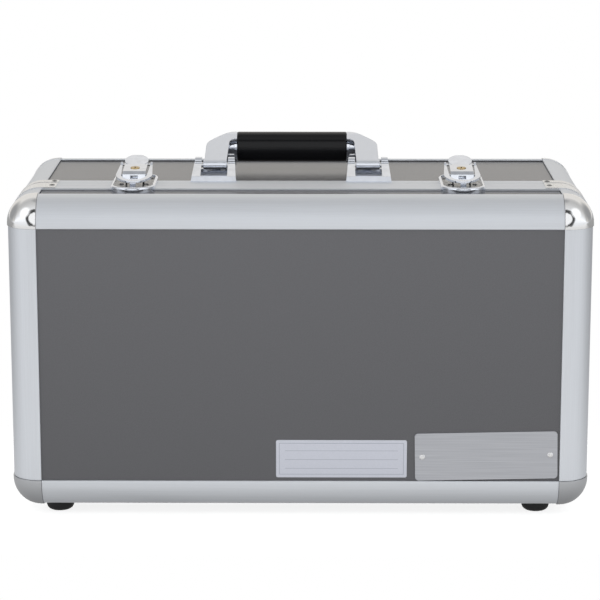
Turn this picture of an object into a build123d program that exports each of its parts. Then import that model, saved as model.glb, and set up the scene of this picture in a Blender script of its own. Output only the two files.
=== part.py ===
from build123d import *
from math import cos, radians, sin, sqrt
import os

# A flight-style carrying case for guitar pedals: a deep base, a shallow lid, two draw latches and a handle.
# X runs along the case's width and Z up. The lid is at the front, towards -Y. The origin lies on the surface
# the feet stand on, under the middle of the case. All sizes are in millimetres.

# Case body
case_width = 457.0
case_height = 250.0  # without the feet
case_depth = 219.0
lid_depth = 71.5  # from the front face to the seam
seam_gap = 0.3

# Rails and panels
rail_leg = 24.0
rail_radius = 22.0
rail_lip = 1.6  # the lip that laps over a panel's edge
rail_wall = 1.6
slot_depth = 8.0
panel_thickness = 5.0
panel_fit = 0.1  # clearance on each face of a panel in its slot
panel_end_gap = 0.5

# Closure frames at the seam
lid_frame_width = 24.0
base_frame_width = 14.0
tongue_inset = 2.6
tongue_thickness = 2.0
tongue_length = 3.0
groove_outer_gap = 0.3
groove_inner_gap = 0.8
groove_end_gap = 1.0
channel_inset = 3.2
channel_margin = 2.0
score_width = 0.5
score_depth = 0.4
lid_score_from_seam = 10.5
base_score_from_seam = 3.5

# Corner caps and corner clips
cap_proud = 0.7
cap_thickness = 2.0
cap_gap = 0.15
clip_thickness = 0.8
clip_reach = 34.5
clip_rivet_inset = 31.0
lid_clip_width = 22.0
lid_clip_from_seam = 12.0
base_clip_width = 10.5
base_clip_from_seam = 7.0

# Rivets
rivet_head_radius = 2.3
rivet_head_height = 0.8
rivet_radius = 1.5
rivet_length = 5.0
rivet_fit = 0.05

# Lining
lining_gap = 0.3
lining_thickness = 5.0
lining_seam_gap = 0.5
lining_inner_radius = 9.0

# Feet
foot_height = 9.5
foot_radius = 11.0
foot_round = 4.5
foot_inset = 37.0  # from the case's sides, before the sideways shift
foot_shift = -2.2
foot_setback = 35.8  # from the front and back faces
foot_bore_radius = 3.9
foot_bore_depth = 6.5
screw_radius = 2.0
screw_head_radius = 3.5
screw_head_height = 2.2
screw_fit = 0.05
screw_slot = 0.9

# Lid hinges
hinge_inset = 83.5  # from the case's sides
hinge_width = 46.0
knuckle_width = 15.0
knuckle_gap = 0.3
knuckle_radius = 2.6
hinge_drop = 3.0  # from the underside of the frames to the hinge axis
hinge_pin_radius = 1.25
hinge_pin_fit = 0.05
leaf_thickness = 1.2
leaf_length = 12.5
leaf_relief = 3.2
hinge_rivet_spread = 32.0
hinge_rivet_setback = 8.0

# Latches; each offset here and below is along Y from the seam, towards the back
latch_inset = 98.0  # from the case's sides, before the sideways shift
latch_shift = -2.0
dish_radius = 17.6
dish_front_offset = -39.0
dish_back_offset = 34.0
dish_rim_height = 3.0
dish_rim_width = 2.0
dish_rim_round = 1.6
dish_floor = 1.2
dish_flat = 0.5  # half the straight stretch at each end of the dish
strike_rivet_spread = 20.0
strike_rivet_offset = -11.0
latch_rivet_spread = 26.2
latch_rivet_offset = 18.0
catch_width = 4.6
catch_length = 5.0
bail_lift = 0.3  # the bail's clearance over the catch

# Latch levers: a strip of sheet folded at its nose, its front edge and its crease
lever_pivot_offset = -5.5
lever_pivot_height = 7.3
lever_pin_radius = 1.2
pivot_fit = 0.05
lever_width = 18.2
lever_thickness = 1.6
nose_offset = -10.4
nose_height = 4.7
brow_offset = -9.6
brow_height = 9.0
lever_front_offset = -6.0
lever_front_height = 11.1
lever_slope = 4.5
lever_plate_length = 23.1
tab_slope = 17.5
tab_radius = 9.5
tab_center = 7.0  # from the crease
window_width = 6.0
window_low = 5.3
window_high = 7.9
window_depth = 0.9
skirt_thickness = 1.2
skirt_radius = 2.5
ear_thickness = 1.4
ear_gap = 0.4
ear_radius = 1.9
ear_foot_offset = 7.0

# Bails
bail_pivot_offset = 23.5
bail_pivot_height = 11.5
bail_pin_radius = 1.1
bail_eye_radius = 2.2
bail_thickness = 1.8
bail_end_half_width = 12.7
bail_half_width = 14.5
bail_end_strip = 1.5
bail_strip = 4.2
bail_bar_strip = 3.7
bail_wide_offset = -7.0
bail_front_offset = -25.5
bail_bar_height = 4.5  # to the underside of the front bar
bail_sweep_angle = 50.0  # where the front sweep passes its shoulder

# Locks
lock_setback = 10.5  # along the lever, from its front edge
lock_radius = 3.7
lock_length = 5.5
lock_proud = 0.4
plug_radius = 2.6
plug_fit = 0.05
keyway_width = 0.9
keyway_length = 3.4
keyway_depth = 3.0

# Handle
handle_spread = 124.6
handle_shift = -7.7
handle_lean = 12.0  # degrees above level, at rest
handle_pivot_offset = 41.0
handle_pivot_height = 8.6
handle_reach = 42.0
handle_pin_radius = 2.0
knuckle_half_width = 9.5
root_radius = 3.9
frame_half_width = 18.3
frame_top_half_width = 15.9
frame_front_offset = 6.8
frame_back_offset = 54.0
frame_sill = 0.8
frame_rail_height = 4.2
frame_bevel = 2.8
frame_shoulder_offset = 35.5
frame_shoulder_height = 11.2
frame_window_front_offset = 13.4
frame_slot_back_offset = 47.6
frame_floor_thickness = 1.0
frame_floor_back_offset = 33.0
lug_radius = 6.4
arm_side_gap = 1.2
frame_rivet_spread = 11.0
frame_rivet_offset = 23.0

# Handle arms, as their left-hand outline: across from the arm's middle, and along from the pivot
grip_radius = 12.3
grip_length = 90.6
grip_round = 1.2
root_outer = -8.6
shank_outer = -8.0
shoulder_start = 21.0
shoulder_middle_across = -2.8
shoulder_middle_along = 31.5
shoulder_end = 47.5
shoulder_rise = 0.72  # the slope where the shoulder meets the grip
arch_start = 21.0
arch_across = 10.5
arch_end = 32.5
hood_thickness = 1.8  # the arm's wall over the ferrule
ferrule_radius = 7.4
ferrule_neck_radius = 6.2
ferrule_flange = 2.6
ferrule_fit = 0.05
core_radius = 4.0
core_fit = 0.05
core_hold = 6.0

# Name plate and label on the front panel
name_plate_width = 112.4
name_plate_height = 38.5
name_plate_thickness = 1.0
name_plate_radius = 3.0
name_plate_gap = 1.6  # to the rail beside it
name_plate_rise = 44.5  # from the underside of the case to the plate's middle
name_plate_tilt = 1.1
name_plate_rivet_inset = 5.75
label_width = 103.2
label_height = 30.5
label_thickness = 0.2
label_radius = 1.5
label_gap = 6.3  # to the name plate
label_rise = 41.8

# Faces of the case body
side = case_width / 2
front = -case_depth / 2
back = case_depth / 2
bottom = foot_height
top = bottom + case_height
middle = (bottom + top) / 2
seam = front + lid_depth
lid_frame_front = seam - lid_frame_width
base_frame_back = seam + base_frame_width
lid_seam_face = seam - seam_gap / 2
base_seam_face = seam + seam_gap / 2

# Depths below the rails' outer faces
panel_face = rail_lip + panel_fit
panel_slot = panel_thickness + 2 * panel_fit
panel_inner_face = panel_face + panel_thickness
rail_depth = rail_lip + panel_slot + rail_wall
panel_reach = slot_depth - panel_end_gap

latch_centers = (-side + latch_inset + latch_shift, side - latch_inset + latch_shift)
arm_centers = (handle_shift - handle_spread / 2, handle_shift + handle_spread / 2)
hinge_centers = (-side + hinge_inset, side - hinge_inset)
foot_centers = (-side + foot_inset + foot_shift, side - foot_inset + foot_shift)
name_plate_x = side - rail_leg - name_plate_gap - name_plate_width / 2
name_plate_rivet_spread = name_plate_width - 2 * name_plate_rivet_inset
label_x = name_plate_x - name_plate_width / 2 - label_gap - label_width / 2

# Places along Y on the latches and the handle
dish_front = seam + dish_front_offset
dish_back = seam + dish_back_offset
strike_rivet_y = seam + strike_rivet_offset
latch_rivet_y = seam + latch_rivet_offset
nose_y = seam + nose_offset
brow_y = seam + brow_offset
ear_foot_y = seam + ear_foot_offset
lever_pivot_y = seam + lever_pivot_offset
lever_front_y = seam + lever_front_offset
bail_pivot_y = seam + bail_pivot_offset
bail_wide_y = seam + bail_wide_offset
bail_front_y = seam + bail_front_offset
handle_pivot_y = seam + handle_pivot_offset
frame_front = seam + frame_front_offset
frame_back = seam + frame_back_offset
frame_shoulder_y = seam + frame_shoulder_offset
frame_window_front = seam + frame_window_front_offset
frame_slot_back = seam + frame_slot_back_offset
frame_floor_back = seam + frame_floor_back_offset
frame_rivet_y = seam + frame_rivet_offset

beyond = 2.0  # how far a cut runs past the face it opens
tall = 60.0  # longer than any of the fittings a cut goes through


def save(name, *pieces):
    """Write one node; several pieces stay separate solids."""
    solids = [solid for piece in pieces for solid in piece.solids()]
    export_step(solids[0] if len(solids) == 1 else Compound(solids), f"parts/{name}.step")


def slab(x, y, z):
    """The box between three pairs of planes."""
    return Pos(sum(x) / 2, sum(y) / 2, sum(z) / 2) * Box(x[1] - x[0], y[1] - y[0], z[1] - z[0])


def span(center, width):
    return (center - width / 2, center + width / 2)


def prism(points, x):
    """A profile of (y, z) points, run between two x planes."""
    face = make_face(Polyline(*points, close=True))
    return extrude(Plane((x[0], 0, 0), x_dir=(0, 1, 0), z_dir=(1, 0, 0)) * face, x[1] - x[0])


def rod(radius, x, y, z):
    """A round bar along X, between two x planes."""
    return Pos(sum(x) / 2, y, z) * Rot(0, 90, 0) * Cylinder(radius, x[1] - x[0])


def web(circles, x):
    """The plate that wraps round circles (y, z, radius), between two x planes."""
    edges = [(Pos(y, z) * Circle(radius)).edge() for y, z, radius in circles]
    plane = Plane((x[0], 0, 0), x_dir=(0, 1, 0), z_dir=(1, 0, 0))
    return extrude(plane * make_hull(edges), x[1] - x[0])


def case_loop(inset, y):
    """The case's rounded outline, drawn in by an inset, between two y planes."""
    outline = RectangleRounded(case_width - 2 * inset, case_height - 2 * inset, rail_radius - inset)
    return extrude(Plane((0, y[1], middle), x_dir=(1, 0, 0), z_dir=(0, -1, 0)) * outline, y[1] - y[0])


def case_ring(outer, inner, y):
    return case_loop(outer, y) - case_loop(inner, y)


def four_corners(piece):
    """A piece at the low corner of a face and its mirror images at the other three."""
    pair = [piece, mirror(piece, about=Plane.YZ)]
    return pair + [mirror(other, about=Plane.XY.offset(middle)) for other in pair]


def to_back(pieces):
    return [mirror(piece, about=Plane.XZ) for piece in pieces]


# Rivets and screws

def rivet():
    """One domed rivet, its head's seat at z = 0."""
    ball = (rivet_head_radius**2 + rivet_head_height**2) / (2 * rivet_head_height)
    dome = split(Pos(0, 0, rivet_head_height - ball) * Sphere(ball), bisect_by=Plane.XY, keep=Keep.TOP)
    return dome + Pos(0, 0, -rivet_length / 2) * Cylinder(rivet_radius, rivet_length)


def rivets(seats):
    return [spot * rivet() for spot in seats]


def drill(host, seats):
    """The host with a rivet hole at each seat."""
    hole = Cylinder(rivet_radius + rivet_fit, 2 * rivet_length + beyond)
    return host - [spot * hole for spot in seats]


def seat(x, y, z, normal):
    return Plane((x, y, z), z_dir=normal).location


def clip_seats(y):
    """Two seats on each corner clip: one on the flat above or below, and one on the side."""
    seats = []
    for x_sign in (-1, 1):
        for level, up in ((top, 1), (bottom, -1)):
            across = x_sign * (side - clip_rivet_inset)
            seats.append(seat(across, y, level + up * clip_thickness, (0, 0, up)))
            face = x_sign * (side + clip_thickness)
            seats.append(seat(face, y, level - up * clip_rivet_inset, (x_sign, 0, 0)))
    return seats


def hinge_seats(y):
    return [
        seat(center + offset, y, bottom - leaf_thickness, (0, 0, -1))
        for center in hinge_centers
        for offset in (-hinge_rivet_spread / 2, hinge_rivet_spread / 2)
    ]


def pair_seats(centers, spread, y, z):
    offsets = (-spread / 2, spread / 2)
    return [seat(center + offset, y, z, (0, 0, 1)) for center in centers for offset in offsets]


lid_clip_seats = clip_seats(seam - lid_clip_from_seam)
base_clip_seats = clip_seats(seam + base_clip_from_seam)
lid_hinge_seats = hinge_seats(seam - hinge_rivet_setback)
base_hinge_seats = hinge_seats(seam + hinge_rivet_setback)
strike_seats = pair_seats(latch_centers, strike_rivet_spread, strike_rivet_y, top + dish_floor)
latch_seats = pair_seats(latch_centers, latch_rivet_spread, latch_rivet_y, top + dish_floor)
frame_floor_top = top - panel_face + frame_floor_thickness
frame_seats = pair_seats(arm_centers, frame_rivet_spread, frame_rivet_y, frame_floor_top)
name_plate_spot = Plane(
    (name_plate_x, front + panel_face, bottom + name_plate_rise),
    x_dir=(cos(radians(name_plate_tilt)), 0, sin(radians(name_plate_tilt))),
    z_dir=(0, -1, 0),
)
name_plate_seats = [
    name_plate_spot.location * Pos(offset, 0, name_plate_thickness)
    for offset in (-name_plate_rivet_spread / 2, name_plate_rivet_spread / 2)
]


# Rails, panels and closure frames

def rail_section():
    """A quarter-round rail: two slots for panels, and a hollow behind the round face."""
    nose = rail_lip / 2
    middle_of_arc = rail_radius * (1 - sqrt(0.5))
    slot_end = rail_leg - slot_depth
    slot_far = rail_lip + panel_slot
    half = [
        (rail_leg - nose, rail_lip), (slot_end, rail_lip), (slot_end, slot_far), (rail_leg, slot_far),
        (rail_leg, rail_depth), (rail_depth, rail_depth),
    ]
    other_half = [(v, u) for u, v in reversed(half[:-1])]
    lines = Polyline(*half, *other_half)
    lines += ThreePointArc((rail_lip, rail_leg - nose), (nose, rail_leg), (0, rail_leg - nose))
    lines += Line((0, rail_leg - nose), (0, rail_radius))
    lines += ThreePointArc((0, rail_radius), (middle_of_arc, middle_of_arc), (rail_radius, 0))
    lines += Line((rail_radius, 0), (rail_leg - nose, 0))
    lines += ThreePointArc((rail_leg - nose, 0), (rail_leg, nose), (rail_leg - nose, rail_lip))
    return make_face(lines) - rail_hollow()


def rail_hollow():
    """Two pockets between the round face and the slots' walls, one the mirror of the other."""
    far = rail_depth - rail_wall
    end = rail_leg - slot_depth - rail_wall
    round_face = Pos(rail_radius, rail_radius) * Circle(rail_radius - rail_wall)
    pockets = [Pos(u / 2, v / 2) * Rectangle(u, v) & round_face for u, v in ((end, far), (far, end))]
    return pockets[0] + pockets[1]


def rail(center, inward, other_inward, length):
    """A rail centred on a point of the case's sharp edge; the two directions point into the case."""
    along = Vector(*inward).cross(Vector(*other_inward))
    start = Vector(*center) - along * (length / 2)
    return extrude(Plane(start, x_dir=inward, z_dir=along) * rail_section(), length)


def cross_rails(y, inward):
    """The two rails along X at the front or the back."""
    length = case_width - 2 * rail_leg
    levels = ((top, -1), (bottom, 1))
    return [rail((0, y, level), (0, inward, 0), (0, 0, down), length) for level, down in levels]


def upright_rails(y, inward):
    length = case_height - 2 * rail_leg
    return [rail((-sign * side, y, middle), (0, inward, 0), (sign, 0, 0), length) for sign in (-1, 1)]


def corner_rails(y):
    """The four rails along Y, between two y planes."""
    return [
        rail((-sign * side, sum(y) / 2, level), (sign, 0, 0), (0, 0, down), y[1] - y[0])
        for sign in (-1, 1)
        for level, down in ((top, -1), (bottom, 1))
    ]


def board(spans, thin):
    """A panel that fills spans in sight and reaches into the slots round it; thin is its thin axis."""
    reaches = []
    for axis in range(3):
        if axis != thin:
            grown = list(spans)
            grown[axis] = (spans[axis][0] - panel_reach, spans[axis][1] + panel_reach)
            reaches.append(slab(*grown))
    return reaches[0] + reaches[1]


wide = (-side + rail_leg, side - rail_leg)
high = (bottom + rail_leg, top - rail_leg)


def face_panel(y):
    return board((wide, y, high), 1)


def top_panel(y):
    return board((wide, y, (top - panel_inner_face, top - panel_face)), 2)


def bottom_panel(y):
    return board((wide, y, (bottom + panel_face, bottom + panel_inner_face)), 2)


def side_panels(y):
    return [
        board(((-side + panel_face, -side + panel_inner_face), y, high), 0),
        board(((side - panel_inner_face, side - panel_face), y, high), 0),
    ]


def score(y):
    return case_ring(-beyond, score_depth, span(y, score_width))


def lid_frame():
    """The lid's closure frame: panel slot in front, inner channel, and the groove for the base's tongue."""
    slot_back = lid_frame_front + slot_depth
    groove_front = lid_seam_face - tongue_length - groove_end_gap
    frame = case_ring(0, rail_depth, (lid_frame_front, lid_seam_face))
    frame -= case_ring(rail_lip, rail_lip + panel_slot, (lid_frame_front - beyond, slot_back))
    channel = (slot_back + channel_margin, groove_front - channel_margin)
    frame -= case_ring(channel_inset, rail_depth + beyond, channel)
    groove_inner = tongue_inset + tongue_thickness + groove_inner_gap
    frame -= case_ring(tongue_inset - groove_outer_gap, groove_inner, (groove_front, seam))
    frame -= score(seam - lid_score_from_seam)
    return drill(frame, lid_clip_seats + lid_hinge_seats + strike_seats)


def base_frame():
    """The base's closure frame: panel slot behind, and the tongue that enters the lid."""
    frame = case_ring(0, rail_depth, (base_seam_face, base_frame_back))
    slot_front = base_frame_back - slot_depth
    frame -= case_ring(rail_lip, rail_lip + panel_slot, (slot_front, base_frame_back + beyond))
    frame -= score(seam + base_score_from_seam)
    tongue_y = (base_seam_face - tongue_length, base_seam_face)
    tongue = case_ring(tongue_inset, tongue_inset + tongue_thickness, tongue_y)
    return drill(frame + tongue, base_clip_seats + base_hinge_seats + latch_seats)


# Corner caps, clips and lining

def ball_block(low, high_end, radius):
    """A cube between low and high_end on every axis, its three edges at the low corner rounded."""
    block = slab((low, high_end), (low, high_end), (low, high_end))
    corner = Vector(low, low, low)
    edges = [edge for edge in block.edges() if any(vertex.center() == corner for vertex in edge.vertices())]
    return fillet(edges, radius)


def corner_cap():
    reach = rail_leg - cap_gap
    radius = rail_radius + cap_proud
    cap = ball_block(-cap_proud, reach, radius)
    cap -= ball_block(cap_thickness - cap_proud, reach + beyond, radius - cap_thickness)
    return Pos(-side, front, bottom) * cap


def clips(y_center, width, seats):
    y = span(y_center, width)
    band = case_ring(-clip_thickness, 0, y)
    x = (-side - beyond, -side + clip_reach)
    z = (bottom - beyond, bottom + clip_reach)
    return [drill(clip, seats) for clip in four_corners(band & slab(x, y, z))]


def lining(y, hollow_y):
    """A soft tray: the rounded block between y planes, less the hollow."""
    outer = rail_depth + lining_gap
    block = case_loop(outer, y)
    width = case_width - 2 * (outer + lining_thickness)
    height = case_height - 2 * (outer + lining_thickness)
    hollow = RectangleRounded(width, height, lining_inner_radius)
    start = Plane((0, hollow_y[1], middle), x_dir=(1, 0, 0), z_dir=(0, -1, 0))
    return block - extrude(start * hollow, hollow_y[1] - hollow_y[0])


# Feet

def foot(x, y):
    height = bottom + panel_face
    block = Cylinder(foot_radius, height, align=(Align.CENTER, Align.CENTER, Align.MIN))
    block = fillet(block.edges().sort_by(Axis.Z)[0], foot_round)
    block -= Cylinder(screw_radius + screw_fit, 2 * height)
    block -= Cylinder(foot_bore_radius, 2 * foot_bore_depth)
    return Pos(x, y, 0) * block


def foot_screw(x, y):
    head_z = (foot_bore_depth - screw_head_height, foot_bore_depth)
    head = Pos(0, 0, sum(head_z) / 2) * Cylinder(screw_head_radius, screw_head_height)
    head -= slab(span(0, 2 * screw_head_radius), span(0, screw_slot), (0, head_z[0] + screw_slot))
    shank_z = (foot_bore_depth, bottom + panel_inner_face)
    shank = Pos(0, 0, sum(shank_z) / 2) * Cylinder(screw_radius, shank_z[1] - shank_z[0])
    return Pos(x, y, 0) * (head + shank)


def screw_holes(y):
    hole = Cylinder(screw_radius + screw_fit, tall)
    return [Pos(x, y, bottom) * hole for x in foot_centers]


# Hinges

hinge_z = bottom - hinge_drop
leaf_z = (bottom - leaf_thickness, bottom)


def hinge_leaf(center, x_spans, away, bore, seats):
    """A leaf on one side of the hinge axis: away is -1 for the lid and 1 for the base."""
    edge = seam + away * leaf_length
    leaf = slab(span(center, hinge_width), sorted((seam + away * leaf_relief, edge)), leaf_z)
    for x in x_spans:
        leaf += slab(x, sorted((seam, edge)), leaf_z)
        leaf += rod(knuckle_radius, x, seam, hinge_z)
        leaf -= rod(bore, x, seam, hinge_z)
    return drill(leaf, seats)


def lid_leaf(center):
    x_spans = [span(center, knuckle_width)]
    return hinge_leaf(center, x_spans, -1, hinge_pin_radius + hinge_pin_fit, lid_hinge_seats)


def base_leaf(center):
    inner = knuckle_width / 2 + knuckle_gap
    outer = hinge_width / 2
    x_spans = [(center - outer, center - inner), (center + inner, center + outer)]
    return hinge_leaf(center, x_spans, 1, hinge_pin_radius, base_hinge_seats)


# Latches

def dish_outline(inset):
    """The latch's long round-ended plan, drawn in by an inset."""
    length = dish_back - dish_front - 2 * inset
    plan = RectangleRounded(2 * (dish_radius - inset), length, dish_radius - inset - dish_flat)
    return Pos(0, (dish_front + dish_back) / 2) * plan


def dish(center, y):
    """The stretch of the latch's rimmed dish between two y planes, bedded on frame and panel."""
    outer = extrude(Plane.XY.offset(top) * dish_outline(0), dish_rim_height)
    outer = fillet(outer.edges().group_by(Axis.Z)[-1], dish_rim_round)
    inner = extrude(Plane.XY.offset(top + dish_floor) * dish_outline(dish_rim_width), dish_rim_height)
    bed = extrude(Plane.XY.offset(top - panel_face) * dish_outline(0), panel_face)
    bed -= slab((-side, side), (lid_frame_front - panel_fit, base_frame_back + panel_fit), span(top, tall))
    whole = (outer - inner + bed) & slab((-side, side), y, span(top, tall))
    return Pos(center, 0, 0) * whole


def strike(center):
    """The lid's half of the dish, with the catch under the bail's front bar."""
    plate = dish(center, (dish_front, lid_seam_face))
    catch_y = span(bail_front_y + bail_bar_strip / 2, catch_length)
    height = bail_bar_height - bail_lift - dish_floor
    post = slab(span(center, catch_width), catch_y, (top + dish_floor, top + dish_floor + height))
    return drill(plate + post, strike_seats)


def latch_base(center):
    """The base's half of the dish, with two ears that reach over the seam to carry the lever."""
    plate = dish(center, (base_seam_face, dish_back))
    foot_circle = (ear_foot_y, top + ear_radius, ear_radius)
    for x in ear_spans(center):
        plate += web([(lever_pivot_y, lever_pivot_z, ear_radius), foot_circle], x)
    plate -= lever_pin(center)
    return drill(plate, latch_seats)


lever_pivot_z = top + lever_pivot_height
bail_pivot_z = top + bail_pivot_height


def ear_spans(center):
    outer = lever_width / 2 - skirt_thickness - ear_gap
    inner = outer - ear_thickness
    return [(center - outer, center - inner), (center + inner, center + outer)]


def lever_pin(center):
    return rod(lever_pin_radius, span(center, lever_width), lever_pivot_y, lever_pivot_z)


def on_lever(center):
    """The plane of a lever's top face: X across, Y from its front edge up to the crease."""
    slope = radians(lever_slope)
    origin = (center, lever_front_y, top + lever_front_height)
    return Plane(origin, x_dir=(1, 0, 0), z_dir=(0, -sin(slope), cos(slope)))


crease_y = lever_front_y + lever_plate_length * cos(radians(lever_slope))
crease_height = lever_front_height + lever_plate_length * sin(radians(lever_slope))
tab_end = tab_center + tab_radius
tab_end_y = crease_y + tab_end * cos(radians(tab_slope))
tab_end_height = crease_height + tab_end * sin(radians(tab_slope))


def lever_strip():
    """The folded sheet from the side, as (y, z): its top face, and the sheet's thickness under it."""
    line = Polyline(
        (nose_y, top + nose_height), (brow_y, top + brow_height),
        (lever_front_y, top + lever_front_height), (crease_y, top + crease_height),
        (tab_end_y, top + tab_end_height),
    )
    return make_face(offset(line, lever_thickness, side=Side.RIGHT, kind=Kind.INTERSECTION))


def lever(center):
    """The folded strip with its round finger tab, and two skirts that carry its pivots."""
    plane = Plane((center - tab_radius, 0, 0), x_dir=(0, 1, 0), z_dir=(1, 0, 0))
    strip = extrude(plane * lever_strip(), 2 * tab_radius)
    tab_y = crease_y + tab_center * cos(radians(tab_slope))
    plan = Pos(center, (nose_y + crease_y) / 2) * Rectangle(lever_width, crease_y - nose_y)
    plan += Pos(center, tab_y) * Circle(tab_radius)
    plate = strip & extrude(Pos(0, 0, top) * plan, tall)
    for x in skirt_spans(center):
        plate += skirt(x)
    window_y = (nose_y - beyond, nose_y + window_depth)
    plate -= slab(span(center, window_width), window_y, (top + window_low, top + window_high))
    plate -= rod(lever_pin_radius + pivot_fit, span(center, tall), lever_pivot_y, lever_pivot_z)
    plate -= rod(bail_pin_radius, span(center, tall), bail_pivot_y, bail_pivot_z)
    return plate - lock_spot(center) * Cylinder(lock_radius, tall)


def skirt(x):
    """The web round both pivots, up to the underside of the plate."""
    slope = radians(lever_slope)
    corners = []
    for along in (skirt_radius, lever_plate_length):
        y = lever_front_y + along * cos(slope) + skirt_thickness * sin(slope)
        z = top + lever_front_height + along * sin(slope) - skirt_thickness * cos(slope)
        corners.append((y, z, skirt_thickness / 2))
    pivots = [(lever_pivot_y, lever_pivot_z, skirt_radius), (bail_pivot_y, bail_pivot_z, bail_eye_radius)]
    return web(pivots + corners, x)


def skirt_spans(center):
    outer = lever_width / 2
    inner = outer - skirt_thickness
    return [(center - outer, center - inner), (center + inner, center + outer)]


def bail_pin(center):
    return rod(bail_pin_radius, span(center, 2 * bail_end_half_width), bail_pivot_y, bail_pivot_z)


def bail_plan(end_half, half, nose):
    """Straight arms that spread from the eyes, then one round sweep at the front."""
    end = bail_pivot_y + bail_eye_radius
    sweep_angle = radians(bail_sweep_angle)
    shoulder = (half * sin(sweep_angle), bail_wide_y + (nose - bail_wide_y) * cos(sweep_angle))
    right = Polyline((0, end), (end_half, end), (end_half, bail_pivot_y), (half, bail_wide_y))
    sweep = Spline((half, bail_wide_y), shoulder, (0, nose), tangents=[(0, -1), (-1, 0)])
    curves = Curve() + right + sweep
    return make_face(curves + mirror(curves, about=Plane.YZ))


def bail(center):
    """A stamped loop: two narrow eyes on the lever's pin, broad arms, and a bar over the catch."""
    loop = bail_plan(bail_end_half_width, bail_half_width, bail_front_y)
    mouth = bail_end_half_width - bail_end_strip
    loop -= bail_plan(mouth, bail_half_width - bail_strip, bail_front_y + bail_bar_strip)
    column = Pos(center, 0, top) * extrude(loop, tall)
    width = span(center, 2 * side)
    eye = rod(bail_eye_radius, width, bail_pivot_y, bail_pivot_z)
    low = top + bail_bar_height
    arm_top = bail_pivot_z + bail_thickness / 2
    profile = [
        (bail_front_y, low), (bail_front_y, low + bail_thickness),
        (bail_pivot_y, arm_top), (bail_pivot_y, arm_top - bail_thickness),
    ]
    piece = column & (prism(profile, width) + eye)
    return piece - rod(bail_pin_radius + pivot_fit, width, bail_pivot_y, bail_pivot_z)


def lock_spot(center):
    return on_lever(center).location * Pos(0, lock_setback, 0)


def lock_case(center):
    tube = extrude(lock_spot(center) * Circle(lock_radius), -lock_length)
    tube += extrude(lock_spot(center) * Circle(lock_radius), lock_proud)
    return tube - lock_spot(center) * Cylinder(plug_radius + plug_fit, tall)


def lock_plug(center):
    plug = extrude(lock_spot(center) * Circle(plug_radius), -lock_length)
    plug += extrude(lock_spot(center) * Circle(plug_radius), lock_proud)
    keyway = Rectangle(keyway_width, keyway_length)
    return plug - extrude(lock_spot(center) * Pos(0, 0, lock_proud) * keyway, -keyway_depth)


# Handle

arm_pivot_z = top + handle_pivot_height
frame_bed = top - panel_face


def handle_frame(center):
    """A bevelled plate with a window, and two raised lugs that hold the arm's pin."""
    sill = top + frame_sill
    rail_top = top + frame_rail_height
    cheek = [
        (frame_front, top), (frame_front, sill), (frame_front + frame_bevel, rail_top),
        (frame_shoulder_y, top + frame_shoulder_height), (frame_slot_back, top + frame_shoulder_height),
        (frame_back - frame_bevel, rail_top), (frame_back, sill), (frame_back, frame_bed),
        (base_frame_back + panel_fit, frame_bed), (base_frame_back + panel_fit, top),
    ]
    low_rail = [cheek[0], cheek[1], cheek[2]] + cheek[5:]
    slot_half = knuckle_half_width + arm_side_gap
    plate = prism(low_rail, span(center, 2 * frame_half_width))
    for x in ((-frame_half_width, -slot_half), (slot_half, frame_half_width)):
        x_span = (center + x[0], center + x[1])
        plate += prism(cheek, x_span)
        heights = (arm_pivot_z, top + lug_radius)
        plate += web([(handle_pivot_y, height, lug_radius) for height in heights], x_span)
    plate &= frame_envelope(center)
    window = slab(span(center, 2 * slot_half), (frame_window_front, frame_slot_back), span(top, tall))
    floor_y = (base_frame_back + panel_fit, frame_floor_back)
    floor = slab(span(center, 2 * slot_half), floor_y, (frame_bed, frame_floor_top))
    plate = plate - window + floor
    return drill(plate - handle_pin(center), frame_seats)


def frame_envelope(center):
    """The taper that bevels the plate's two long sides."""
    tip = top + handle_pivot_height + lug_radius
    points = [
        (-frame_half_width, frame_bed), (frame_half_width, frame_bed), (frame_half_width, top + frame_sill),
        (frame_top_half_width, tip), (-frame_top_half_width, tip), (-frame_half_width, top + frame_sill),
    ]
    face = make_face(Polyline(*points, close=True))
    plane = Plane((center, frame_back, 0), x_dir=(1, 0, 0), z_dir=(0, -1, 0))
    return extrude(plane * face, frame_back - frame_front)


def handle_pin(center):
    return rod(handle_pin_radius, span(center, 2 * frame_top_half_width), handle_pivot_y, arm_pivot_z)


def leaned(piece):
    """A handle piece drawn flat along +Y from its pivot, leaned back to its rest."""
    return Pos(0, handle_pivot_y, arm_pivot_z) * Rot(handle_lean, 0, 0) * piece


grip_end = handle_spread / 2 - grip_length / 2  # from an arm's middle to the grip's end


def arm_plan():
    """The left arm seen square on: a shank, an outer shoulder that slants up, and an inner arch."""
    outer = Spline(
        (shank_outer, shoulder_start),
        (shoulder_middle_across, shoulder_middle_along),
        (grip_end, shoulder_end),
        tangents=[(0, 1), (1, shoulder_rise)],
    )
    inner = Spline((grip_end, arch_end), (arch_across, arch_start), tangents=[(-1, 0), (0, -1)])
    lines = Curve() + Line((root_outer, 0), (shank_outer, shoulder_start)) + outer
    lines += Line((grip_end, shoulder_end), (grip_end, arch_end))
    lines += inner
    lines += Polyline((arch_across, arch_start), (knuckle_half_width, 0), (root_outer, 0))
    return make_face(lines)


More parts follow.
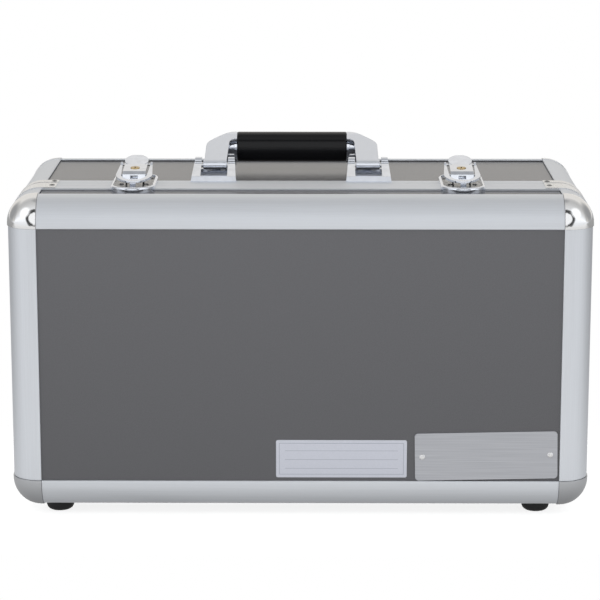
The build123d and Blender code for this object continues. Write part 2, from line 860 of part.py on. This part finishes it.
def left_arm():
    """A knuckle on the pin, and a shank that thickens up to the grip, with a hood over the ferrule."""
    body = extrude(arm_plan(), tall, both=True)
    across = (-tall, tall)
    body &= web([(0, 0, root_radius), (handle_reach, 0, grip_radius)], across)
    body += rod(root_radius, (-knuckle_half_width, knuckle_half_width), 0, 0)
    body -= rod(handle_pin_radius + pivot_fit, across, 0, 0)
    body -= rod(ferrule_radius + ferrule_fit, (arch_across, grip_end), handle_reach, 0)
    under_hood = (arch_across, grip_end + beyond)
    hollow = [(0, 0, root_radius - hood_thickness), (handle_reach, 0, grip_radius - hood_thickness)]
    body -= web(hollow, under_hood) & slab(under_hood, (0, handle_reach), (-tall, tall))
    body -= slab(under_hood, (0, handle_reach), (-tall, 0))
    body -= rod(core_radius + core_fit, (arch_across - core_hold, arch_across), handle_reach, 0)
    return leaned(Pos(arm_centers[0], 0, 0) * body)


def about_handle(piece):
    return mirror(piece, about=Plane.YZ.offset(handle_shift))


def grip():
    x = span(handle_shift, grip_length)
    body = fillet(rod(grip_radius, x, handle_reach, 0).edges(), grip_round)
    return leaned(body - rod(core_radius + core_fit, x, handle_reach, 0))


def ferrule():
    """A neck from the arm, with a flange against the grip's end."""
    x = (arm_centers[0] + arch_across, arm_centers[0] + grip_end)
    ring = rod(ferrule_neck_radius, x, handle_reach, 0)
    ring += rod(ferrule_radius, (x[1] - ferrule_flange, x[1]), handle_reach, 0)
    return leaned(ring - rod(core_radius + core_fit, x, handle_reach, 0))


def grip_core():
    half = handle_spread / 2 - arch_across + core_hold
    return leaned(rod(core_radius, span(handle_shift, 2 * half), handle_reach, 0))


# Name plate and label

def name_plate():
    outline = RectangleRounded(name_plate_width, name_plate_height, name_plate_radius)
    return drill(extrude(name_plate_spot * outline, name_plate_thickness), name_plate_seats)


def label():
    spot = Plane((label_x, front + panel_face, bottom + label_rise), x_dir=(1, 0, 0), z_dir=(0, -1, 0))
    return extrude(spot * RectangleRounded(label_width, label_height, label_radius), label_thickness)


def save_lid():
    y = (front + rail_leg, lid_frame_front)
    foot_y = front + foot_setback
    front_panel = face_panel((front + panel_face, front + panel_inner_face))
    save("lid_front_panel", drill(front_panel, name_plate_seats))
    save("lid_top_panel", top_panel(y))
    save("lid_bottom_panel", bottom_panel(y) - screw_holes(foot_y))
    save("lid_side_panels", *side_panels(y))
    save("lid_cross_rails", *cross_rails(front, 1))
    save("lid_upright_rails", *upright_rails(front, 1))
    save("lid_corner_rails", *corner_rails(y))
    save("lid_closure_frame", lid_frame())
    save("lid_corner_caps", *four_corners(corner_cap()))
    save("lid_corner_clips", *clips(seam - lid_clip_from_seam, lid_clip_width, lid_clip_seats))
    lining_front = front + rail_depth + lining_gap
    hollow = (lining_front + lining_thickness, seam)
    save("lid_lining", lining((lining_front, seam - lining_seam_gap), hollow))
    save("lid_feet", *[foot(x, foot_y) for x in foot_centers])
    save("lid_foot_screws", *[foot_screw(x, foot_y) for x in foot_centers])
    save("lid_hinge_leaves", *[lid_leaf(center) for center in hinge_centers])
    save("lid_rivets", *rivets(lid_clip_seats + lid_hinge_seats + strike_seats))
    save("name_plate", name_plate())
    save("name_plate_rivets", *rivets(name_plate_seats))
    save("write_on_label", label())


def save_base():
    y = (base_frame_back, back - rail_leg)
    foot_y = back - foot_setback
    seats = base_clip_seats + base_hinge_seats + latch_seats + frame_seats
    save("base_back_panel", face_panel((back - panel_inner_face, back - panel_face)))
    save("base_top_panel", drill(top_panel(y), base_clip_seats + latch_seats + frame_seats))
    floor = drill(bottom_panel(y), base_clip_seats + base_hinge_seats)
    save("base_bottom_panel", floor - screw_holes(foot_y))
    save("base_side_panels", *[drill(panel, base_clip_seats) for panel in side_panels(y)])
    save("base_cross_rails", *cross_rails(back, -1))
    save("base_upright_rails", *upright_rails(back, -1))
    save("base_corner_rails", *corner_rails(y))
    save("base_closure_frame", base_frame())
    save("base_corner_caps", *to_back(four_corners(corner_cap())))
    save("base_corner_clips", *clips(seam + base_clip_from_seam, base_clip_width, base_clip_seats))
    lining_back = back - rail_depth - lining_gap
    hollow = (seam, lining_back - lining_thickness)
    save("base_lining", lining((seam + lining_seam_gap, lining_back), hollow))
    save("base_feet", *[foot(x, foot_y) for x in foot_centers])
    save("base_foot_screws", *[foot_screw(x, foot_y) for x in foot_centers])
    save("base_hinge_leaves", *[base_leaf(center) for center in hinge_centers])
    save("hinge_pins", *[rod(hinge_pin_radius, span(x, hinge_width), seam, hinge_z) for x in hinge_centers])
    save("base_rivets", *rivets(seats))


def save_latches():
    for name, center in zip(("left", "right"), latch_centers):
        save(f"{name}_strike", strike(center))
        save(f"{name}_latch_base", latch_base(center))
        save(f"{name}_lever", lever(center))
        save(f"{name}_bail_pin", bail_pin(center))
        save(f"{name}_bail", bail(center))
        save(f"{name}_lock_case", lock_case(center))
        save(f"{name}_lock_plug", lock_plug(center))
    save("lever_pins", *[lever_pin(center) for center in latch_centers])


def save_handle():
    arm = left_arm()
    save("left_handle_frame", handle_frame(arm_centers[0]))
    save("right_handle_frame", handle_frame(arm_centers[1]))
    save("left_handle_arm", arm)
    save("right_handle_arm", about_handle(arm))
    save("handle_grip", grip())
    save("handle_core", grip_core())
    save("handle_ferrules", ferrule(), about_handle(ferrule()))
    save("handle_pins", *[handle_pin(center) for center in arm_centers])


os.makedirs("parts", exist_ok=True)
save_lid()
save_base()
save_latches()
save_handle()
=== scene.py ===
import math
import bpy
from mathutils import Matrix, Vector


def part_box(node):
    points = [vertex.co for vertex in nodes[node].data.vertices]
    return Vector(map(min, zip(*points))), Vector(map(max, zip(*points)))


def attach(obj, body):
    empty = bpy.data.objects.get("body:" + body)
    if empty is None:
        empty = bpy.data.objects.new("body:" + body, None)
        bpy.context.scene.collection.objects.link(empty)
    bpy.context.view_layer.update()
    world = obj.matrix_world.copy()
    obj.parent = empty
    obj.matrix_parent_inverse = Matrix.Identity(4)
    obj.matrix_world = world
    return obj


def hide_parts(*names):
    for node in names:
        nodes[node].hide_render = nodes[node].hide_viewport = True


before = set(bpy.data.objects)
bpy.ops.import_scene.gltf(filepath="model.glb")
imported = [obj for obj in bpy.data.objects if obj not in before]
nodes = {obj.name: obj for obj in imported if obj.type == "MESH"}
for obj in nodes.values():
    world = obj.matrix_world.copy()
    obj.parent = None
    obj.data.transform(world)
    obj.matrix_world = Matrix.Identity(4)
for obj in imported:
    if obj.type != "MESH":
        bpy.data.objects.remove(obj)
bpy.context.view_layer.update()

print("frame loaded,", len(nodes), "nodes")

neutral = (1.0, 1.0, 1.0)
noiseRoughness = 0.6
edgeSamples = 4


# the nodes of a material or of the room's light
class NodeTree:
    def __init__(self, tree):
        self.tree = tree

    def add(self, kind, **settings):
        node = self.tree.nodes.new(kind)
        for key, value in settings.items():
            setattr(node, key, value)
        return node

    # feeds an input with another node's output or with a plain value
    def feed(self, value, target):
        if isinstance(value, bpy.types.NodeSocket):
            self.tree.links.new(value, target)
        else:
            target.default_value = value

    def ramp(self, source, stops):
        ramp = self.add("ShaderNodeValToRGB")
        while len(ramp.color_ramp.elements) < len(stops):
            ramp.color_ramp.elements.new(0.5)
        for element, (position, colour) in zip(ramp.color_ramp.elements, stops):
            element.position = position
            element.color = (*colour, 1.0)
        self.feed(source, ramp.inputs["Fac"])
        return ramp.outputs["Color"]

    def spread(self, source, low, high, fromLow=0.0, fromHigh=1.0, **settings):
        spread = self.add("ShaderNodeMapRange", **settings)
        for key, value in (("From Min", fromLow), ("From Max", fromHigh), ("To Min", low), ("To Max", high)):
            spread.inputs[key].default_value = value
        self.feed(source, spread.inputs["Value"])
        return spread.outputs["Result"]

    def math(self, operation, *values, **settings):
        node = self.add("ShaderNodeMath", operation=operation, **settings)
        for value, target in zip(values, node.inputs):
            self.feed(value, target)
        return node.outputs["Value"]

    def split(self, vector):
        split = self.add("ShaderNodeSeparateXYZ")
        self.feed(vector, split.inputs["Vector"])
        return split.outputs

    def mix(self, kind, share, first, second):
        mix = self.add(kind)
        for value, target in zip((share, first, second), mix.inputs):
            self.feed(value, target)
        return mix.outputs[0]

    def mixColours(self, share, first, second):
        return self.mix("ShaderNodeMixRGB", share, first, second)

    def mixShaders(self, share, first, second):
        return self.mix("ShaderNodeMixShader", share, first, second)


class Finish(NodeTree):
    def __init__(self, name):
        self.material = bpy.data.materials.new(name)
        self.material.use_nodes = True
        super().__init__(self.material.node_tree)
        self.shader = self.tree.nodes["Principled BSDF"]
        self.coords = self.add("ShaderNodeTexCoord").outputs
        self.place = self.coords["Object"]

    def set(self, **values):
        for key, value in values.items():
            self.shader.inputs[key.replace("_", " ")].default_value = value

    # noise in patches per metre, the same each way or one number for each of x, y and z
    def noise(self, patches, detail=4.0):
        mapping = self.add("ShaderNodeMapping")
        mapping.inputs["Scale"].default_value = patches if isinstance(patches, tuple) else (patches,) * 3
        self.feed(self.place, mapping.inputs["Vector"])
        texture = self.add("ShaderNodeTexNoise")
        for key, value in (("Scale", 1.0), ("Detail", detail), ("Roughness", noiseRoughness)):
            texture.inputs[key].default_value = value
        self.feed(mapping.outputs["Vector"], texture.inputs["Vector"])
        return texture.outputs["Fac"]

    # an edge radius rounds the look of hard edges, so that they catch the light as a real edge does
    def bump(self, source, distance, strength, edge=None):
        bump = self.add("ShaderNodeBump")
        bump.inputs["Distance"].default_value = distance
        bump.inputs["Strength"].default_value = strength
        self.feed(source, bump.inputs["Height"])
        if edge is not None:
            bevel = self.add("ShaderNodeBevel", samples=edgeSamples)
            bevel.inputs["Radius"].default_value = edge
            self.feed(bevel.outputs["Normal"], bump.inputs["Normal"])
        self.feed(bump.outputs["Normal"], self.shader.inputs["Normal"])

    def colour(self, source):
        self.feed(source, self.shader.inputs["Base Color"])

    def rough(self, source):
        self.feed(source, self.shader.inputs["Roughness"])


def toned(value, tint=neutral):
    return value if isinstance(value, tuple) else tuple(value * t for t in tint)


def twoTone(f, source, look):
    stops = zip(look.get("ends", (0.3, 0.7)), look["tones"])
    return f.ramp(source, [(position, toned(value, look.get("tint", neutral))) for position, value in stops])


# one noise gives the tones, the roughness and the fine relief
def makeGrained(name, look, patches=None):
    f = Finish(name)
    grain = f.noise(patches or look["patches"], look.get("detail", 4.0))
    f.set(Metallic=look.get("metal", 1.0))
    if "shine" in look:
        f.set(Specular_IOR_Level=look["shine"])
    f.colour(twoTone(f, grain, look))
    f.rough(f.spread(grain, *look["rough"]))
    f.bump(grain, *look["bump"], look.get("edge"))
    return f.material


def paint(material, *names):
    for name in names:
        nodes[name].data.materials.clear()
        nodes[name].data.materials.append(material)


# grey laminate of the panels
laminate = {"tones": (0.088, 0.104), "tint": (0.98, 0.98, 1.05), "ends": (0.35, 0.65), "metal": 0.0,
            "patches": 1400, "detail": 3.0, "rough": (0.20, 0.29), "bump": (0.00003, 0.5)}
paint(makeGrained("laminate", laminate), "lid_front_panel", "lid_top_panel", "lid_bottom_panel",
      "lid_side_panels", "base_back_panel", "base_top_panel", "base_bottom_panel", "base_side_panels")

# satin anodised rails, the grain along each rail
anodised = {"tones": (0.755, 0.80), "tint": (0.965, 0.995, 1.04), "across": 2600, "along": 14, "detail": 2.0,
            "rough": (0.48, 0.58), "bump": (0.00002, 0.15), "edge": 0.0005}


def makeAnodised(axis):
    patches = [anodised["across"]] * 3
    patches["XYZ".index(axis)] = anodised["along"]
    return makeGrained("anodised" + axis, anodised, tuple(patches))


paint(makeAnodised("X"), "lid_cross_rails", "base_cross_rails", "lid_closure_frame", "base_closure_frame")
paint(makeAnodised("Z"), "lid_upright_rails", "base_upright_rails")
paint(makeAnodised("Y"), "lid_corner_rails", "base_corner_rails")

# bright plating of the latches and the handle's fittings, a little hazy and not quite flat
plated = {"tones": (0.80, 0.90), "tint": (0.95, 0.985, 1.055), "haze": (160, 3.0), "rough": (0.04, 0.12),
          "wave": (70, 2.0), "bump": (0.0003, 0.25), "edge": 0.0005}


def makeChrome():
    f = Finish("chrome")
    haze = f.noise(*plated["haze"])
    f.set(Metallic=1.0)
    f.colour(twoTone(f, haze, plated))
    f.rough(f.spread(haze, *plated["rough"]))
    f.bump(f.noise(*plated["wave"]), *plated["bump"], plated["edge"])
    return f.material


paint(makeChrome(), "left_lever", "right_lever", "left_bail", "right_bail", "left_handle_frame",
      "right_handle_frame", "handle_ferrules")

# the latches' dishes: plated like the rest, but the floor inside the rim is rougher and darkened by painted shade
# in noisy patches
dish = {"tones": (0.03, 0.30), "ends": (0.38, 0.62), "paintedShade": (260, 3.0), "rimTop": 0.2625, "rimDepth": 0.0010,
        "flatness": 0.8, "floorRough": 0.22}


def makeDish():
    f = Finish("dish")
    f.set(Metallic=1.0)
    low = f.math("LESS_THAN", f.split(f.place)["Z"], dish["rimTop"] - dish["rimDepth"])
    flat = f.math("GREATER_THAN", f.split(f.coords["Normal"])["Z"], dish["flatness"])
    floor = f.math("MULTIPLY", low, flat)
    # painted shade: noisy dark tones on the dish's floor inside the rim
    paintedShade = twoTone(f, f.noise(*dish["paintedShade"]), dish)
    plating = twoTone(f, f.noise(*plated["haze"]), plated)
    f.colour(f.mixColours(floor, plating, paintedShade))
    f.rough(f.spread(floor, plated["rough"][1], dish["floorRough"]))
    f.bump(f.noise(*plated["wave"]), *plated["bump"], plated["edge"])
    return f.material


paint(makeDish(), "left_strike", "right_strike", "left_latch_base", "right_latch_base")

# satin plating of the handle's arms
satin = {"tones": (0.82, 0.86), "tint": plated["tint"], "patches": 240, "rough": (0.20, 0.26),
         "bump": (0.00001, 0.1), "edge": 0.0008}
paint(makeGrained("satinPlate", satin), "left_handle_arm", "right_handle_arm")

# ball corners: polished above and rougher near the ground, their colour darkened near the ground by painted shade
ball = {"tones": ((0.485, 0.495, 0.51), 0.86), "ends": (0.0, 1.0), "rough": (0.34, 0.09), "heights": (0.05, 0.20),
        "wave": (90, 2.0), "bump": (0.0003, 0.15), "edge": 0.0005}


def makeBall():
    f = Finish("ballCorner")
    height = f.spread(f.split(f.place)["Z"], 0.0, 1.0, *ball["heights"])
    f.set(Metallic=1.0)
    # painted shade: the colour darkens towards the ground
    f.colour(twoTone(f, height, ball))
    f.rough(f.spread(height, *ball["rough"]))
    f.bump(f.noise(*ball["wave"]), *ball["bump"], ball["edge"])
    return f.material


paint(makeBall(), "lid_corner_caps", "base_corner_caps")

# zinc plated clips, leaves, pins and screws, and the rivets, painted dark as painted shade
steel = {"patches": 900, "bump": (0.00002, 0.4), "edge": 0.0002}
clipSteel = {**steel, "tones": (0.74, 0.86), "rough": (0.22, 0.34)}
# painted shade: the rivets' colour is kept dark
shadedRivets = {**steel, "tones": (0.16, 0.30), "rough": (0.25, 0.40)}
paint(makeGrained("clipSteel", clipSteel), "lid_corner_clips", "base_corner_clips", "lid_hinge_leaves",
      "base_hinge_leaves", "hinge_pins", "lever_pins", "left_bail_pin", "right_bail_pin", "handle_pins",
      "handle_core", "lid_foot_screws", "base_foot_screws", "name_plate_rivets")
paint(makeGrained("shadedRivets", shadedRivets), "lid_rivets", "base_rivets")

# brass locks
brass = {"tones": ((0.36, 0.24, 0.08), (0.70, 0.52, 0.24)), "patches": 500, "rough": (0.18, 0.36),
         "bump": (0.00003, 0.4), "edge": 0.0002}
paint(makeGrained("brass", brass), "left_lock_case", "right_lock_case", "left_lock_plug", "right_lock_plug")

# black plastic grip and rubber feet
blackTint = (0.95, 0.97, 1.15)
grip = {"tones": (0.003, 0.005), "tint": blackTint, "metal": 0.0, "shine": 0.25, "patches": 700, "detail": 5.0,
        "rough": (0.20, 0.26), "bump": (0.00003, 0.5)}
rubber = {"tones": (0.004, 0.009), "tint": blackTint, "metal": 0.0, "shine": 0.5, "patches": 1200, "detail": 5.0,
          "rough": (0.45, 0.65), "bump": (0.00006, 0.5)}
paint(makeGrained("gripPlastic", grip), "handle_grip")
paint(makeGrained("rubber", rubber), "lid_feet", "base_feet")

# brushed name plate, the grain from side to side
plate = {"tones": ((0.42, 0.43, 0.46), (0.54, 0.55, 0.58)), "patches": (16, 2400, 2400), "detail": 2.0,
         "rough": (0.30, 0.42), "bump": (0.00002, 0.4), "edge": 0.0003}
paint(makeGrained("brushedPlate", plate), "name_plate")

# paper label with a thin border and writing lines, sizes in mm
paper = {"tones": ((0.55, 0.565, 0.625), (0.59, 0.605, 0.67)), "ink": (0.30, 0.32, 0.38), "margin": 2.6,
         "border": 0.35, "firstLine": 7.4, "lineStep": 7.2, "lineWidth": 0.30, "lineMargin": 7.0, "lineEnd": 1.5,
         "patches": 900, "rough": (0.45, 0.6), "bump": (0.00002, 0.3)}


def makePaper():
    f = Finish("labelPaper")
    low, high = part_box("write_on_label")
    half = {"X": (high.x - low.x) * 1000 / 2, "Z": (high.z - low.z) * 1000 / 2}
    across = f.split(f.coords["Generated"])
    up = f.math("MULTIPLY", across["Z"], 2 * half["Z"])
    fromMiddle = {}
    toEdge = []
    for axis in half:
        along = f.math("MULTIPLY", across[axis], 2 * half[axis])
        fromMiddle[axis] = f.math("ABSOLUTE", f.math("SUBTRACT", along, half[axis]))
        toEdge.append(f.math("SUBTRACT", half[axis], fromMiddle[axis]))
    border = f.math("COMPARE", f.math("MINIMUM", *toEdge), paper["margin"], paper["border"] / 2)
    toLine = f.math("PINGPONG", f.math("SUBTRACT", up, paper["firstLine"]), paper["lineStep"] / 2)
    lines = f.math("LESS_THAN", toLine, paper["lineWidth"] / 2)
    for axis, margin in (("X", paper["lineMargin"]), ("Z", paper["margin"] + paper["lineEnd"])):
        lines = f.math("MULTIPLY", lines, f.math("LESS_THAN", fromMiddle[axis], half[axis] - margin))
    grain = f.noise(paper["patches"])
    inked = f.math("MAXIMUM", border, lines)
    f.colour(f.mixColours(inked, twoTone(f, grain, paper), (*paper["ink"], 1.0)))
    f.rough(f.spread(grain, *paper["rough"]))
    f.bump(grain, *paper["bump"])
    return f.material


paint(makePaper(), "write_on_label")
print("materials done")

# foam linings, sizes in metres
foam = {"tones": (0.010, 0.034), "ends": (0.0, 0.8), "cells": 900, "rough": 0.95, "bump": (0.0004, 0.7),
        "wall": 0.0048, "cornerRadius": 0.0133, "leastRadius": 0.003, "cornerSteps": 6, "backEdge": 0.0010,
        "rim": 0.0015, "rimHalfway": (0.0005, 0.0004), "coveTop": 0.004, "coveStep": 0.0008, "coveRise": 0.0010,
        "crate": 0.022, "gridStep": 0.0028, "lift": 0.0001, "fill": 0.9}


def makeFoam():
    f = Finish("foam")
    cells = f.add("ShaderNodeTexVoronoi")
    cells.inputs["Scale"].default_value = foam["cells"]
    f.feed(f.place, cells.inputs["Vector"])
    f.colour(twoTone(f, cells.outputs["Distance"], foam))
    f.set(Roughness=foam["rough"])
    f.bump(cells.outputs["Distance"], *foam["bump"])
    return f.material


# a rectangle with round corners, set in from the tray's outline
def roundedLoop(half, inset, depth):
    radius = max(foam["cornerRadius"] - inset, foam["leastRadius"])
    points = []
    for quarter, (sideX, sideZ) in enumerate(((1, 1), (-1, 1), (-1, -1), (1, -1))):
        centreX = sideX * (half[0] - inset - radius)
        centreZ = sideZ * (half[1] - inset - radius)
        for step in range(foam["cornerSteps"] + 1):
            angle = math.radians(90 * quarter + 90 * step / foam["cornerSteps"])
            points.append((centreX + radius * math.cos(angle), depth, centreZ + radius * math.sin(angle)))
    return points


# the tray's back, outer wall, rounded rim, inner wall and the cove at its foot, as insets and depths
def trayProfile(deep, floor):
    wall, rim, backEdge = foam["wall"], foam["rim"], foam["backEdge"]
    halfIn, halfDown = foam["rimHalfway"]
    step = foam["coveStep"]
    outer = [(backEdge, 0.0), (0.0, backEdge), (0.0, deep - rim), (halfIn, deep - halfDown), (rim, deep)]
    inner = [(wall - rim, deep), (wall - halfIn, deep - halfDown), (wall, deep - rim)]
    cove = [(wall, wall + foam["coveTop"]), (wall + step, floor + foam["coveRise"]), (wall + 2 * step, floor)]
    return outer + inner + cove


# points and faces of the bumpy face that lies on the tray's floor
def bumpyFace(half, floor, rise, start):
    reach = [side - foam["wall"] for side in half]
    columns, rows = (int(2 * side / foam["gridStep"]) for side in reach)
    points = []
    for row in range(rows + 1):
        z = (row / rows * 2 - 1) * reach[1]
        for column in range(columns + 1):
            x = (column / columns * 2 - 1) * reach[0]
            wave = math.cos(2 * math.pi * x / foam["crate"]) * math.cos(2 * math.pi * z / foam["crate"])
            points.append((x, floor + foam["lift"] + (rise - foam["lift"]) * (0.5 + 0.5 * wave), z))
    corners = [start + row * (columns + 1) + column for row in range(rows) for column in range(columns)]
    return points, [(i, i + 1, i + columns + 2, i + columns + 1) for i in corners]


# a tray of foam: way is +1 where it opens towards the back, rise is how far its bumps stand up
def foamTray(name, node, body, way, rise):
    low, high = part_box(node)
    half = ((high.x - low.x) / 2, (high.z - low.z) / 2)
    floor = foam["wall"] - rise
    loops = trayProfile(high.y - low.y, floor)
    points = []
    for inset, depth in loops:
        points += roundedLoop(half, inset, depth)
    count = 4 * (foam["cornerSteps"] + 1)
    faces = []
    for ring in range(len(loops) - 1):
        a, b = ring * count, (ring + 1) * count
        for i in range(count):
            j = (i + 1) % count
            faces.append((a + i, a + j, b + j, b + i))
    faces.append(tuple(range(count))[::-1])
    faces.append(tuple(range((len(loops) - 1) * count, len(loops) * count)))
    bumpPoints, bumpFaces = bumpyFace(half, floor, rise, len(points))
    points += bumpPoints
    faces += bumpFaces
    if way < 0:
        faces = [face[::-1] for face in faces]
    origin = low.y if way > 0 else high.y
    middle = ((low.x + high.x) / 2, (low.z + high.z) / 2)
    mesh = bpy.data.meshes.new(name)
    mesh.from_pydata([(middle[0] + x, origin + way * y, middle[1] + z) for x, y, z in points], [], faces)
    mesh.shade_smooth()
    mesh.materials.append(foamMaterial)
    tray = bpy.data.objects.new(name, mesh)
    bpy.context.scene.collection.objects.link(tray)
    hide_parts(node)
    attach(tray, body)


foamMaterial = makeFoam()
foamTray("lid_foam", "lid_lining", "lid", 1, 0.0027)
foamTray("base_foam", "base_lining", "base", -1, 0.0006)
print("foam done")

# the floor: half the case's plan, and pairs of distance from the case in metres and level there
ground = {
    "size": 12.0, "rough": 0.9, "caseHalf": (0.215, 0.095),
    # a ramp's middle is this far from the case
    "near": 0.25,
    # painted shadow: the floor's colour is darker near the case
    "paint": [(0.0, 0.30), (0.10, 0.42), (0.35, 0.64), (1.2, 0.78), (4.0, 0.80)],
    # how bright a shiny piece sees the floor, and how much of that is left behind the case; this is a painted
    # reflection of the floor, darkened near the case by painted shadow
    "mirrored": [(0.0, 0.52), (0.03, 0.74), (0.10, 0.98), (0.35, 0.88), (1.2, 0.82), (4.0, 0.90)],
    "behind": 0.44, "behindFrom": (-0.3, 0.3),
    # how much of the white room the camera sees through the floor, and where the shadow ends
    "seenThrough": 0.84, "shadowEnds": (0.04, 0.10),
}


def makeFloor():
    bpy.ops.mesh.primitive_plane_add(size=ground["size"], location=(0, 0, 0))
    floor = bpy.context.object
    floor.name = "floor"
    f = Finish("floorPaint")
    f.set(Roughness=ground["rough"])
    geometry = f.add("ShaderNodeNewGeometry").outputs
    rays = f.add("ShaderNodeLightPath").outputs
    place = f.split(geometry["Position"])
    squares = []
    for axis, half in zip("XY", ground["caseHalf"]):
        outside = f.math("MAXIMUM", f.math("SUBTRACT", f.math("ABSOLUTE", place[axis]), half), 0.0)
        squares.append(f.math("POWER", outside, 2.0))
    away = f.math("POWER", f.math("ADD", *squares), 0.5)
    near = ground["near"]
    part = f.math("DIVIDE", away, f.math("ADD", away, near))

    def byDistance(levels):
        return f.ramp(part, [(distance / (distance + near), toned(level)) for distance, level in levels])

    # painted shadow: darker floor paint near the case
    f.colour(byDistance(ground["paint"]))
    painted = f.shader.outputs["BSDF"]
    # a shiny piece sees only this light, a painted reflection of the floor that is darker near the case as painted
    # shadow
    mirrored = f.add("ShaderNodeEmission")
    f.feed(byDistance(ground["mirrored"]), mirrored.inputs["Color"])
    f.feed(f.spread(place["Y"], 1.0, ground["behind"], *ground["behindFrom"]), mirrored.inputs["Strength"])
    # the camera sees the white room through the floor, and with it a lid that hangs open below it
    through = f.add("ShaderNodeBsdfTransparent")
    through.inputs["Color"].default_value = (*toned(ground["seenThrough"]), 1.0)
    lit = f.add("ShaderNodeAddShader")
    f.feed(painted, lit.inputs[0])
    f.feed(through.outputs["BSDF"], lit.inputs[1])
    clear = f.add("ShaderNodeBsdfTransparent").outputs["BSDF"]
    # past the shadow's end the paint is white anyway, so there it gives way to the room's white
    pastShadow = f.spread(away, 0.0, 1.0, *ground["shadowEnds"])
    seen = f.mixShaders(pastShadow, lit.outputs["Shader"], clear)
    surface = f.mixShaders(rays["Is Camera Ray"], painted, seen)
    surface = f.mixShaders(rays["Is Glossy Ray"], surface, mirrored.outputs["Emission"])
    surface = f.mixShaders(geometry["Backfacing"], surface, clear)
    f.feed(surface, f.tree.nodes["Material Output"].inputs["Surface"])
    floor.data.materials.append(f.material)


# the room's light
room = {
    # brightness from the front horizon (0 degrees) over the top (90) to the back horizon (180), and its warmth
    "sweep": [(0, 0.92, -1), (12, 1.08, -1), (31, 1.22, -1), (47, 1.04, -1), (67, 0.80, -0.5), (88, 0.62, 0),
              (104, 0.54, 0), (116, 0.62, 0.5), (126, 0.82, 1), (150, 0.80, 1.5), (168, 0.78, 1.5),
              (180, 0.86, 1.5)],
    # patches on it: direction, half angle in degrees, the share of it that is even, brightness
    "patches": [((0.0, -0.899, 0.438), 38.5, 0.86, 0.06), ((0.0, -0.914, 0.407), 26, 0.86, 1.05),
                ((-0.62, -0.45, 0.64), 24, 0.3, 1.35), ((0.62, -0.45, 0.64), 24, 0.3, 1.35),
                ((-1.0, 0.5, 0.3), 30, 0.3, 0.35), ((1.0, 0.5, 0.3), 30, 0.3, 0.35),
                ((0.0, 0.24, 0.97), 15, 0.3, 0.40)],
    "patchWarmth": -0.5, "redStep": 0.02, "blueStep": 0.03,
}


def warmed(level, warmth):
    return (level * (1 + room["redStep"] * warmth), level, level * (1 - room["blueStep"] * warmth))


def makeWorld():
    world = bpy.data.worlds.new("studio")
    bpy.context.scene.world = world
    world.use_nodes = True
    w = NodeTree(world.node_tree)
    way = w.add("ShaderNodeTexCoord").outputs["Generated"]
    aim = w.split(way)
    angle = w.math("ARCTAN2", aim["Z"], w.math("MULTIPLY", aim["Y"], -1))
    part = w.math("DIVIDE", angle, math.pi, use_clamp=True)
    light = w.ramp(part, [(degrees / 180, warmed(level, warmth)) for degrees, level, warmth in room["sweep"]])
    for direction, halfAngle, even, level in room["patches"]:
        dot = w.add("ShaderNodeVectorMath", operation="DOT_PRODUCT")
        dot.inputs[1].default_value = Vector(direction).normalized()
        w.feed(way, dot.inputs[0])
        ends = (math.cos(math.radians(halfAngle)), math.cos(math.radians(halfAngle * even)))
        inside = w.spread(dot.outputs["Value"], 0.0, 1.0, *ends, interpolation_type="SMOOTHSTEP")
        light = w.mixColours(inside, light, (*warmed(level, room["patchWarmth"]), 1.0))
    back = w.tree.nodes["Background"]
    w.feed(light, back.inputs["Color"])
    white = w.add("ShaderNodeBackground")
    white.inputs["Color"].default_value = (*neutral, 1.0)
    cameraRays = w.add("ShaderNodeLightPath").outputs["Is Camera Ray"]
    surface = w.mixShaders(cameraRays, back.outputs["Background"], white.outputs["Background"])
    w.feed(surface, w.tree.nodes["World Output"].inputs["Surface"])


# soft lamps for the dull surfaces; the shiny ones see only the room
lamps = {
    "high": {"place": (0.0, -0.45, 0.33), "aim": (0.0, -0.11, 0.24), "size": (0.9, 0.12), "power": 1.1},
    "left": {"place": (-1.2, -0.9, 0.9), "aim": (0.0, 0.0, 0.13), "size": (0.8, 0.8), "power": 0.9},
}


def addToScene(name, data, place, turned):
    holder = bpy.data.objects.new(name, data)
    bpy.context.scene.collection.objects.link(holder)
    holder.location = place
    holder.rotation_euler = turned
    return holder


def makeLamp(name, place, aim, size, power):
    lamp = bpy.data.lights.new(name, "AREA")
    lamp.shape = "RECTANGLE"
    lamp.size, lamp.size_y = size
    lamp.energy = power
    towards = Vector(aim) - Vector(place)
    holder = addToScene(name, lamp, place, towards.to_track_quat("-Z", "Y").to_euler())
    holder.visible_glossy = False


# the camera's place in metres, its tilt and turn in radians, and its lens and film in mm
shot = {"place": (0.011257, -1.944653, 0.582463), "down": 0.215919, "turn": 0.0061858, "lens": 145.0, "film": 36.0}


def makeCamera():
    camera = bpy.data.cameras.new("camera")
    camera.lens = shot["lens"]
    camera.sensor_width = shot["film"]
    turned = (math.pi / 2 - shot["down"], 0, shot["turn"])
    bpy.context.scene.camera = addToScene("camera", camera, shot["place"], turned)


makeFloor()
makeWorld()
for name, lamp in lamps.items():
    makeLamp(name, **lamp)
makeCamera()
bpy.context.scene.view_settings.view_transform = "Standard"
print("room and camera done")
